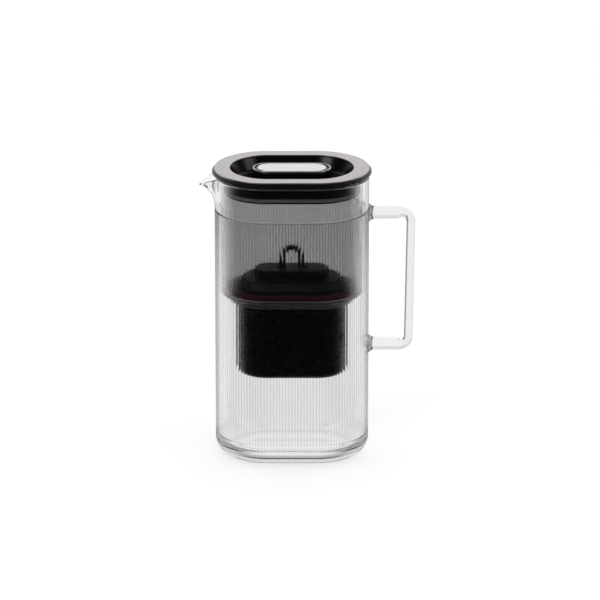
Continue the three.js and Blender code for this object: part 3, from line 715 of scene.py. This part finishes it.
def glass_body_grid():
    """The body's places and painted shades: the rows carried round, cut in by the ribs and drawn out by the
    spout.

    A rib is a nearly flat reed between soft grooves. Its head is round, because the step over it lies lower
    by the scallop times the squared cosine of half the phase. On the collar the height goes evenly from the
    spout's root to the rim, and the wall moves out by the reach times the share times a power of the rise.
    The painted shade, which darkens the glass where refraction would draw dark lines, is 1 in the seam of the
    inner floor, less on the ribs, and 0 on smooth glass.
    """
    place, cut = np.array(RIB_SECTION).T
    turn = (np.arange(RIB_COUNT)[:, None] + place[None, :]).ravel() / RIB_COUNT
    cut = np.tile(cut, RIB_COUNT)
    along, facing_x, facing_y = outline_at(turn)
    scallop = RIB_SCALLOP * np.cos(math.pi * RIB_COUNT * turn) ** 2
    share = spout_share(along, facing_x, facing_y)
    radius, height, ribbed, rise, lift = (glass_body_rows()[:, index, None] for index in range(5))
    on_collar = rise > 0
    under_head = RIB_TOP - scallop - height
    below = np.clip(under_head / HEAD_STEP_RISE, 0, 1)
    dip = HEAD_STEP * eased(1 + under_head / HEAD_STEP_RUN) * (1 - below)
    radius = radius - np.where(on_collar, 0.0, ribbed * (dip + RIB_DEPTH * cut * below))
    reach = np.where(on_collar, SPOUT_REACH * share * rise ** SPOUT_RISE_POWER, 0.0)
    rim = RIM_HEIGHT - SPOUT_DROOP * share
    x = along * BODY_HALF + radius * facing_x - reach
    y = radius * facing_y
    z = np.where(on_collar, SPOUT_ROOT + (rim - SPOUT_ROOT) * rise + lift, height)
    head_line = HEAD_PAINTED_SHADE * np.exp(-((under_head - PAINTED_HEAD_LINE / 2) / PAINTED_HEAD_LINE) ** 2)
    reeds = below * (REED_PAINTED_SHADE + (GROOVE_PAINTED_SHADE - REED_PAINTED_SHADE) * cut)
    at_seam = np.isclose(height, GLASS_FLOOR - SEAM_DEPTH)
    shade = np.where(on_collar, 0.0, ribbed * np.maximum(head_line, reeds) + at_seam)
    return np.stack((x, y, z), axis=-1), shade


def handle_path():
    """The bar's middle line: out of the wall, a quarter bend, down with a slight lean, a bend, and back.

    Rows are (x, z, direction x, direction z, distance from the nearer wall).
    """
    wall = BODY_HALF + BODY_RADIUS
    top = np.array((BAR_MIDDLE, HANDLE_TOP))
    bottom = np.array((BAR_MIDDLE - HANDLE_LEAN, HANDLE_BOTTOM))
    down = (bottom - top) / np.linalg.norm(bottom - top)
    out = np.array((1.0, 0.0))
    arm = np.linspace(-FOOT_EMBED, FOOT_LENGTH, ARM_ROWS)
    return np.vstack((
        [(wall + place, HANDLE_TOP, *out, place) for place in arm],
        bend(top, out, down, HANDLE_TOP_BEND),
        bend(bottom, down, -out, HANDLE_BOTTOM_BEND),
        [(wall + place, HANDLE_BOTTOM, *-out, place) for place in arm[::-1]],
    ))


def bend(corner, into, away, radius):
    """Rows of a bend of the bar: the arc that touches both directions at the corner."""
    turn = math.acos(np.clip(into @ away, -1, 1))
    start = corner - into * radius * math.tan(turn / 2)
    side = (away - into * (into @ away)) / math.sin(turn)
    centre = start + side * radius
    angle = np.linspace(0, turn, BEND_ROWS)[:, None]
    place = centre - side * radius * np.cos(angle) + into * radius * np.sin(angle)
    heading = into * np.cos(angle) + side * np.sin(angle)
    return np.hstack((place, heading, np.full_like(angle, FOOT_LENGTH)))


def handle_grid():
    """The bar's section, a rounded square from powers of cosine and sine, carried along the middle line.

    The arms are thicker on their inner side. The bar widens towards the wall and ends in a point inside it.
    """
    path = handle_path()
    in_arm = eased((BAR_MIDDLE - HANDLE_LEAN - path[:, 0]) / HANDLE_TOP_BEND)
    more = ((ARM_THICKNESS - BAR_THICKNESS) / 2 * in_arm)[:, None]
    angle = np.linspace(0, 2 * math.pi, BAR_COLUMNS, endpoint=False)
    thick, deep = (np.sign(way) * np.abs(way) ** BAR_SQUARENESS for way in (np.cos(angle), np.sin(angle)))
    near = 1 - np.clip(path[:, 4], 0, FOOT_LENGTH) / FOOT_LENGTH
    flare = (FOOT_FLARE * near ** FOOT_FLARE_POWER)[:, None]
    across = (BAR_THICKNESS / 2 + more + flare) * thick + more
    y = (BAR_DEPTH / 2 + flare) * deep
    sag = BODY_RADIUS - np.sqrt(np.clip(BODY_RADIUS ** 2 - y ** 2, 0, None))
    x = path[:, 0, None] + across * path[:, 3, None] - sag * near[:, None]
    z = path[:, 1, None] - across * path[:, 2, None]
    return closed_ends(np.stack((x, y, z), axis=-1))


def closed_ends(grid):
    """A grid with two rings more at each end: one at half the size of the last ring and one at its middle."""
    ends = []
    for ring in (grid[0], grid[-1]):
        middle = ring.mean(axis=0)
        ends.append(np.stack((middle + (ring - middle) / 2, np.broadcast_to(middle, ring.shape))))
    return np.concatenate((ends[0][::-1], grid, ends[1]))


def make_glass():
    """The jug's glass: the ribbed body with its drawn spout, and the bar handle fused to its wall."""
    glass = borosilicate_glass("mould_blown_borosilicate", BODY_TINT, BODY_RIPPLE)
    tree = glass.node_tree
    # Painted shade: the body's tone darkens by its painted shade in the grooves, in the line at the rib heads
    # and in the inner floor's seam
    painted_shade = add_node(tree, "Attribute", attribute_name="painted_shade").outputs["Fac"]
    tone = grey_ramp(tree, painted_shade, PAINTED_SHADE_TONES)
    tree.links.new(tone, tree.nodes["Principled BSDF"].inputs["Base Color"])
    bar = borosilicate_glass("drawn_borosilicate_bar", BAR_TINT, BAR_RIPPLE)
    places, shade = glass_body_grid()
    vessel = add_piece("ribbed_glass_body", places, glass, "jug", ["glass_body"], shade=shade)
    handle = add_piece("glass_bar_handle", handle_grid(), bar, "jug", ["glass_handle"])
    for piece in (vessel, handle):
        piece.visible_shadow = False


# Hopper unit

def make_hopper():
    """The smoked hopper: a deep drafted tub that hangs by its flange, with a well and a neck for the cup."""
    flange_radius, half, neck_foot, flange_top = stadium_of("hopper")
    hopper_radius = CAVITY_RADIUS - HOPPER_GAP
    top_radius = hopper_radius + HOPPER_DRAFT
    flange_foot = flange_top - FLANGE_THICKNESS
    floor = HOPPER_FOOT + HOPPER_WALL
    ledge = HOPPER_FOOT - WELL_DEPTH
    well_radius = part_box("cartridge_cup")[1][1] + SEAT_GAP
    neck_radius = well_radius - CUP_FLANGE_WIDTH
    corners = [
        (flange_radius, flange_foot, PLAIN_EDGE, half),
        (top_radius, flange_foot, WIDE_EDGE),
        (hopper_radius, HOPPER_FOOT, HOPPER_ROUND),
        (well_radius + WELL_FLARE + HOPPER_WALL, HOPPER_FOOT, WELL_MOUTH_ROUND),
        (well_radius + NECK_WALL, ledge - NECK_WALL, WELL_FOOT_ROUND),
        (neck_radius + NECK_WALL, ledge - NECK_WALL, SOFT_EDGE),
        (neck_radius + NECK_WALL, neck_foot, FULL_EDGE),
        (neck_radius, neck_foot, FULL_EDGE),
        (neck_radius, ledge, SMALL_EDGE),
        (well_radius, ledge, SMALL_EDGE),
        (well_radius + WELL_FLARE, floor, WELL_MOUTH_ROUND),
        (hopper_radius - HOPPER_WALL, floor, HOPPER_ROUND - HOPPER_WALL),
        (top_radius - HOPPER_WALL, flange_top, FULL_EDGE),
        (flange_radius, flange_top, PLAIN_EDGE),
    ]
    rows = rounded(corners, closed=True)
    grid = carried_round(rows, BODY_COLUMNS)
    grid[:, :, :2] -= np.clip(rows[:, 0] - top_radius, 0, None)[:, None, None] * pour_notch()
    smoked = smoked_copolyester()
    hopper = add_piece("smoked_hopper", grid, smoked, "hopper_unit", ["hopper"], closed=True)
    hopper.visible_shadow = False


def pour_notch():
    """The way (x, y) in which the flange is cut back towards the wall, across the spout."""
    along, facing_x, facing_y = outline_at(np.arange(BODY_COLUMNS) / BODY_COLUMNS)
    inwards = POUR_NOTCH_WIDTH / 2 - np.abs(BODY_RADIUS * facing_y)
    at_spout = (facing_x < 0) & (along < 0)
    depth = np.where(at_spout, eased(inwards / POUR_NOTCH_END), 0.0)
    return np.stack((facing_x * depth, facing_y * depth), axis=-1)


def slot_row(count, pitch, size, height):
    """Boxes of one size in a row along the long side, at one height."""
    first = -(count - 1) / 2
    return [(size, ((first + index) * pitch, 0, height)) for index in range(count)]


def add_tub(name, material, body, node, flange_width, flange_thickness, wall, foot_round, edge):
    """A deep tub in place of a node, with a flange, a round foot and slots in its floor."""
    flange_radius, half, foot, top = stadium_of(node)
    radius = flange_radius - flange_width
    under_flange = top - flange_thickness
    corners = [
        (0, foot + wall, 0, half),
        (radius - wall, foot + wall, foot_round - wall),
        (radius - wall, top, edge),
        (flange_radius, top, edge),
        (flange_radius, under_flange, edge),
        (radius, under_flange, FINE_EDGE),
        (radius, foot, foot_round),
        (0, foot, 0),
    ]
    tub = add_turned(name, corners, material, body, node)
    cut_boxes(tub, slot_row(OUTLET_COUNT, OUTLET_PITCH, (*OUTLET_SIZE, 4 * wall), foot))


def make_cup(material):
    """The black cup that carries the cartridge."""
    add_tub(
        "cartridge_cup_tub", material, "hopper_unit", "cartridge_cup",
        CUP_FLANGE_WIDTH, CUP_FLANGE_THICKNESS, CUP_WALL, CUP_ROUND, PLAIN_EDGE,
    )


# Cartridge

def make_case(material):
    """The cartridge's case, whose flange presses on the seal."""
    add_tub(
        "filter_case", material, "cartridge", "cartridge_case",
        CASE_FLANGE_WIDTH, CASE_FLANGE_THICKNESS, CASE_WALL, CUP_ROUND - CUP_WALL, SMALL_EDGE,
    )


def make_cartridge_seal(material):
    """The red seal: a ring whose outer side bulges in a bead."""
    radius, half, foot, top = stadium_of("cartridge_seal")
    inner = radius - SEAL_WIDTH
    flat = radius - SEAL_BEAD
    corners = [
        (inner, foot, FINE_EDGE, half),
        (flat, foot, SMALL_EDGE),
        (radius, foot + SEAL_BEAD, PLAIN_EDGE),
        (radius, top - SEAL_BEAD, PLAIN_EDGE),
        (flat, top, SMALL_EDGE),
        (inner, top, FINE_EDGE),
    ]
    add_turned("beaded_seal", corners, material, "cartridge", "cartridge_seal", closed=True)


def make_cap(material):
    """The cap in two tiers, with inlet slots through the upper one, and the pull loop on top."""
    radius, half, foot, loop_top = stadium_of("cartridge_cap")
    shoulder_radius = radius - CAP_SHOULDER_INSET
    shoulder = foot + CAP_SHOULDER_RISE
    top = shoulder + CAP_TOP_RISE
    top_radius = shoulder_radius - CAP_TOP_SIDE_INSET
    top_half = half - CAP_TOP_END_INSET

    def tiers(inset, big, small):
        return [
            (radius - inset, foot, 0, half),
            (radius - inset, foot + CAP_SKIRT_HEIGHT - inset / 2, small, half),
            (shoulder_radius - inset, shoulder - inset, big, half),
            (top_radius - inset, shoulder - inset, small, top_half),
            (top_radius - inset, top - inset, big, top_half),
            (0, top - inset, 0, top_half),
        ]

    corners = tiers(CAP_WALL, FULL_EDGE, FULL_EDGE)[::-1] + tiers(0, CAP_ROUND, SOFT_EDGE)
    cap = add_turned(
        "cartridge_cap_tiers", corners, material, "cartridge", "cartridge_cap",
        columns=GRIP_COLUMNS,
    )
    size = (INLET_SIZE[0], 2 * top_radius + CAP_SKIRT_HEIGHT, INLET_SIZE[1])
    cut_boxes(cap, slot_row(INLET_COUNT, INLET_PITCH, size, (shoulder + top) / 2))
    add_piece("pull_loop", pull_loop_grid(top, loop_top), material, "cartridge")


def loop_sides(top, loop_top):
    """The arch's outer and inner outlines at the same steps, from one foot over the head to the other.

    The outer one has flared sides, each a quadratic curve, and the inner one has straight sides.
    """
    steps = np.linspace(0, 1, LOOP_SIDE_ROWS, endpoint=False)[:, None]
    foot = np.array((LOOP_FOOT_HALF_WIDTH, top - CAP_WALL / 2))
    waist = np.array((LOOP_HALF_WIDTH, top))
    shoulder = np.array((LOOP_HALF_WIDTH, loop_top - LOOP_HALF_WIDTH))
    outer_side = foot * (1 - steps) ** 2 + 2 * waist * steps * (1 - steps) + shoulder * steps ** 2
    head = np.array((LOOP_HOLE_HALF_WIDTH, loop_top - LOOP_BAND - LOOP_HOLE_HALF_WIDTH))
    hole_foot = np.array((LOOP_HOLE_HALF_WIDTH, top - CAP_WALL / 2))
    inner_side = hole_foot * (1 - steps) + head * steps
    angle = np.linspace(0, math.pi, LOOP_HEAD_ROWS)[:, None]
    spokes = np.concatenate((np.cos(angle), np.sin(angle)), axis=1)
    outlines = []
    for side, (size, height) in ((outer_side, shoulder), (inner_side, head)):
        round_head = np.array((0, height)) + spokes * size
        outlines.append(np.concatenate((side, round_head, (side * np.array((-1, 1)))[::-1])))
    return outlines


def pull_loop_grid(top, loop_top):
    """A rounded rectangle carried along the arch, stretched between its inner and outer outlines."""
    outer, inner = loop_sides(top, loop_top)
    corner = np.linspace(0, math.pi / 2, LOOP_CORNER_COLUMNS)
    edge = LOOP_EDGE_ROUND / LOOP_BAND
    deep = LOOP_EDGE_ROUND / LOOP_THICKNESS
    across = []
    depth = []
    for quarters, (centre_x, centre_y) in enumerate(((1, 1), (0, 1), (0, 0), (1, 0))):
        turned = corner + quarters * math.pi / 2
        across.append(abs(centre_x - edge) + edge * np.cos(turned))
        depth.append(abs(centre_y - deep) + deep * np.sin(turned))
    across = np.concatenate(across)
    depth = (np.concatenate(depth) - 1 / 2) * LOOP_THICKNESS
    between = inner[:, None, :] + (outer - inner)[:, None, :] * across[None, :, None]
    y = np.broadcast_to(depth, between.shape[:2])
    return closed_ends(np.stack((between[:, :, 0], y, between[:, :, 1]), axis=-1))


# Lid

def make_lid():
    """The lid: the black shell with its sunken bowl and grip, the trim ring, framed pill, liner and seal."""
    lip_radius, half, _, _ = stadium_of("lid_shell")
    trim_radius, _, trim_foot, lid_top = stadium_of("lid_trim_ring")
    grip_radius, grip_half, bezel_foot, _ = stadium_of("grip_bezel")
    lip_radius = lip_radius - LIP_INSET
    ring_radius = trim_radius - TRIM_INSET
    bowl_radius = trim_radius - TRIM_SIDE_WIDTH
    bowl_half = half - (TRIM_END_WIDTH - TRIM_SIDE_WIDTH)
    bowl_foot_radius = bowl_radius - BOWL_SLOPE
    under_grip = grip_radius - LID_WALL
    lid_foot = stadium_of("hopper")[3] + SEAT_GAP
    bowl_floor = lid_top - BOWL_DROP
    under_bowl = bowl_floor - LID_WALL
    grip_seat = bezel_foot - SEAT_GAP
    trim_seat = trim_foot - SEAT_GAP
    corners = [
        (0, grip_seat, 0, grip_half),
        (grip_radius, grip_seat, FULL_EDGE),
        (grip_radius, bowl_floor, GRIP_FOOT_ROUND),
        (grip_radius + 2 * GRIP_FOOT_ROUND, bowl_floor, 0),
        (bowl_foot_radius - 2 * BOWL_ROUND, bowl_floor, 0, bowl_half),
        (bowl_foot_radius, bowl_floor, BOWL_ROUND),
        (bowl_radius, trim_seat, FINE_EDGE),
        (ring_radius, trim_seat, CRISP_EDGE, half),
        (lip_radius, trim_seat - LID_BEVEL_DROP, LIP_TOP_ROUND),
        (lip_radius, lid_foot, WIDE_EDGE),
        (bowl_radius - LID_WALL / 2, lid_foot, SOFT_EDGE, bowl_half),
        (bowl_foot_radius, under_bowl, BOWL_ROUND),
        (bowl_foot_radius - 2 * BOWL_ROUND, under_bowl, 0),
        (under_grip, under_bowl, FULL_EDGE, grip_half),
        (under_grip, grip_seat - LID_WALL, FULL_EDGE),
        (0, grip_seat - LID_WALL, 0),
    ]
    gloss = moulded("moulded_gloss_black_abs")
    add_turned("lid_bowl_shell", corners, gloss, "lid", "lid_shell")
    ring_corners = [
        (ring_radius, trim_foot, FINE_EDGE, half),
        (ring_radius, lid_top, TRIM_ROUND),
        (bowl_radius, lid_top, TRIM_ROUND, bowl_half),
        (bowl_radius, trim_foot, FINE_EDGE),
    ]
    trim = satin_metal("anodised_grey_aluminium")
    add_turned("satin_rim_ring", ring_corners, trim, "lid", "lid_trim_ring", closed=True)
    make_grip()
    make_liner(lid_foot)
    make_lid_seal()


def make_grip():
    """The grip's top: a bright bezel with a polished edge round a slightly crowned satin pill."""
    radius, half, foot, top = stadium_of("grip_bezel")
    top = top - BEZEL_DROP
    bezel_corners = [
        (radius, foot, CRISP_EDGE, half),
        (radius, top, BEZEL_ROUND),
        (radius - BEZEL_WIDTH, top, BEZEL_ROUND),
        (radius - BEZEL_WIDTH, foot, CRISP_EDGE),
    ]
    add_turned(
        "grip_frame", bezel_corners, satin_metal("polished_steel_frame"), "lid", "grip_bezel",
        closed=True, columns=GRIP_COLUMNS,
    )
    cap_radius, cap_half, cap_foot, cap_top = stadium_of("grip_cap")
    cap_radius = cap_radius - PILL_INSET
    cap_half = cap_half - PILL_END_GAP
    cap_corners = [
        (0, cap_foot, 0, cap_half),
        (cap_radius, cap_foot, CRISP_EDGE),
        (cap_radius, cap_top - PILL_CROWN, SMALL_EDGE),
    ]
    for share in np.linspace(1, 0, PILL_CROWN_ROWS)[1:]:
        cap_corners.append((cap_radius * share, cap_top - PILL_CROWN * share ** 2, 0))
    satin = satin_metal("bead_blasted_aluminium_pill")
    add_turned("grip_pill", cap_corners, satin, "lid", "grip_cap", columns=GRIP_COLUMNS)


def make_liner(lid_foot):
    """The liner under the lid: a plate, a groove for the seal, and the skirt that stands in the hopper."""
    radius, half, foot, top = stadium_of("lid_liner")
    plate_radius = radius - LINER_INSET
    groove = plate_radius - LID_WALL
    plate_top = foot + LINER_THICKNESS
    skirt_foot = lid_foot - SKIRT_DEPTH
    skirt_floor = skirt_foot + LINER_THICKNESS
    corners = [
        (0, foot, 0, half),
        (plate_radius, foot, FULL_EDGE),
        (plate_radius, plate_top, SMALL_EDGE),
        (groove, plate_top, FINE_EDGE),
        (groove, skirt_foot, FINE_EDGE),
        (radius, skirt_foot, PLAIN_EDGE),
        (radius, top, PLAIN_EDGE),
        (radius - LID_WALL, top, PLAIN_EDGE),
        (radius - LID_WALL, skirt_floor, SMALL_EDGE),
        (groove - LINER_THICKNESS, skirt_floor, SMALL_EDGE),
        (groove - LINER_THICKNESS, plate_top, SMALL_EDGE),
        (0, plate_top, 0),
    ]
    plastic = moulded("moulded_black_polypropylene")
    add_turned("lid_liner_dish", corners, plastic, "lid", "lid_liner")


def make_lid_seal():
    """The lid's seal: a rubber ring with two soft lips that touch the hopper's wall."""
    radius, half, foot, top = stadium_of("lid_seal")
    inner = stadium_of("lid_liner")[0] - LID_WALL - LINER_INSET + SEAT_GAP
    valley = radius - LID_SEAL_LIP
    corners = [
        (inner, foot, FINE_EDGE, half),
        (valley, foot, FINE_EDGE),
        (radius, foot + LID_SEAL_LIP, SMALL_EDGE),
        (valley, (foot + top) / 2, FINE_EDGE),
        (radius, top - LID_SEAL_LIP, SMALL_EDGE),
        (valley, top, FINE_EDGE),
        (inner, top, FINE_EDGE),
    ]
    rubber = moulded_silicone("moulded_grey_silicone")
    add_turned("two_lip_gasket", corners, rubber, "lid", "lid_seal", closed=True)


# Stage

def add_camera():
    """The camera looks down at the jug from the front, as far off as the photograph's perspective asks."""
    camera_data = bpy.data.cameras.new("camera")
    camera_data.sensor_width = SENSOR_WIDTH
    camera_data.lens = CAMERA_PIXELS_PER_RADIAN * SENSOR_WIDTH / IMAGE_SIZE
    camera = add_object("camera", camera_data)
    away = Vector((0, -math.cos(CAMERA_ELEVATION), math.sin(CAMERA_ELEVATION)))
    camera.location = Vector(CAMERA_TARGET) + away * CAMERA_DISTANCE
    camera.rotation_euler = (-away).to_track_quat("-Z", "Y").to_euler()
    scene.camera = camera


def counted(tree, path, name):
    """1 where the light's path has at least one bounce of the named kind."""
    return maths(tree, "GREATER_THAN", path.outputs[name])


def mixed(tree, factor, first, second):
    """The first shader where the factor is 0, and the second where it is 1."""
    return add_node(tree, "MixShader", {0: factor, 1: first, 2: second}).outputs["Shader"]


def add_floor():
    """A plain white floor that keeps the jug's shadow.

    Seen straight it has a little light of its own, and more far from the jug, so that it meets the white
    surroundings without a horizon. Reflections and views through glass see the studio below it.
    """
    mesh = bpy.data.meshes.new("floor")
    corners = [(x * FLOOR_HALF_SIZE, y * FLOOR_HALF_SIZE, 0) for x, y in ((-1, -1), (1, -1), (1, 1), (-1, 1))]
    mesh.from_pydata(corners, [], [range(len(corners))])
    material, tree, shader = new_material(
        "white_paper_sweep", Base_Color=linear(FLOOR_COLOUR), Roughness=1.0, Specular_IOR_Level=0.0,
        Emission_Color=WHITE,
    )
    path = add_node(tree, "LightPath")
    scattered = counted(tree, path, "Diffuse Depth")
    mirrored = counted(tree, path, "Glossy Depth")
    refracted = counted(tree, path, "Transmission Depth")
    away = add_node(tree, "VectorMath", {0: object_places(tree)}, operation="LENGTH").outputs["Value"]
    glow = spread(tree, away, FLOOR_GLOW, FLOOR_FAR_GLOW, FLOOR_FAR)
    seen = add_node(tree, "MapRange", {"Value": scattered, "To Min": glow}, To_Max=0.0)
    tree.links.new(seen.outputs["Result"], shader.inputs["Emission Strength"])
    through = maths(tree, "MAXIMUM", mirrored, refracted)
    bounced = maths(tree, "SUBTRACT", through, scattered, use_clamp=True)
    open_way = add_node(tree, "BsdfTransparent").outputs[0]
    shown = mixed(tree, bounced, shader.outputs[0], open_way)
    tree.links.new(shown, tree.nodes["Material Output"].inputs["Surface"])
    mesh.materials.append(material)
    add_object("floor", mesh)


def backdrop(tree, level=None, strength=1.0):
    """A white background whose brightness is an output or a plain strength."""
    links = {"Strength": level} if level else {}
    return add_node(tree, "Background", links, Color=WHITE, Strength=strength).outputs[0]


def add_world():
    """White surroundings for the camera, and a soft studio for glass and gloss.

    Light that comes through glass sees white walls, a dim ceiling and a dim right side, which draw the dark
    lines in the handle and the spout. Reflections see a white wall behind the jug, a dark room in front of it
    and, looked at steeply, a pale floor, but plain light where they go up inside one wall of glass, which
    keeps the foot clear. Matt surfaces are lit evenly.
    """
    world = bpy.data.worlds.new("studio")
    scene.world = world
    world.use_nodes = True
    world.cycles.sampling_method = "NONE"
    tree = world.node_tree
    tree.nodes.clear()
    path = add_node(tree, "LightPath")
    places = add_node(tree, "TexCoord").outputs["Generated"]
    direction = add_node(tree, "SeparateXYZ", {"Vector": places}).outputs
    front_to_back = spread(tree, direction["Y"], 0.0, 1.0, (-1.0, 1.0))
    left_to_right = spread(tree, direction["X"], 0.0, 1.0, (-1.0, 1.0))
    upward = spread(tree, direction["Z"], 0.0, 1.0, HORIZON)
    plain = backdrop(tree, strength=PLAIN_LEVEL)
    across = grey_ramp(tree, left_to_right, CLEAR_SIDES_TENT)
    upwards = grey_ramp(tree, direction["Z"], CLEAR_TENT)
    clear = backdrop(tree, maths(tree, "MINIMUM", across, upwards))
    steep = spread(tree, direction["Z"], 0.0, STEEP_LEVEL, STEEP)
    low = backdrop(tree, maths(tree, "MAXIMUM", grey_ramp(tree, front_to_back, LOW_MIRROR_TENT), steep))
    high = backdrop(tree, grey_ramp(tree, front_to_back, MIRROR_TENT))
    through_glass = counted(tree, path, "Transmission Depth")
    one_wall = spread(tree, path.outputs["Transmission Depth"], 1.0, 0.0, ONE_WALL_STEPS)
    in_glass = maths(tree, "MULTIPLY", through_glass, one_wall)
    shown = plain
    for kind, light in (
        (path.outputs["Is Camera Ray"], backdrop(tree)),
        (through_glass, clear),
        (counted(tree, path, "Glossy Depth"), mixed(tree, upward, low, high)),
        (maths(tree, "MULTIPLY", in_glass, upward), plain),
        (counted(tree, path, "Diffuse Depth"), plain),
    ):
        shown = mixed(tree, kind, shown, light)
    add_node(tree, "OutputWorld", {"Surface": shown})


def add_soft_box(name, place, target, size, power, mirrored):
    """A soft box: a rectangular area lamp that faces a target."""
    lamp_data = bpy.data.lights.new(name, "AREA")
    lamp_data.shape = "RECTANGLE"
    lamp_data.size, lamp_data.size_y = size
    lamp_data.energy = power
    lamp = add_object(name, lamp_data)
    lamp.location = place
    lamp.rotation_euler = (Vector(target) - Vector(place)).to_track_quat("-Z", "Y").to_euler()
    lamp.visible_glossy = mirrored


def dress_kept_nodes():
    """The screens and the filter bed keep the frame's shapes, with finishes of their own."""
    screen = woven_screen()
    finishes = {"inlet_screen": screen, "outlet_screen": screen, "filter_media": filter_granules()}
    for name, material in finishes.items():
        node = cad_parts[name]
        node.data.materials.clear()
        node.data.materials.append(material)


add_camera()
add_floor()
add_world()
for box_name, settings in SOFT_BOXES.items():
    add_soft_box(box_name, *settings)

make_glass()
make_hopper()
make_cup(moulded("moulded_black_abs"))
charcoal = moulded("moulded_charcoal_polypropylene")
make_case(charcoal)
make_cartridge_seal(moulded_silicone("moulded_red_silicone"))
make_cap(charcoal)
dress_kept_nodes()
make_lid()
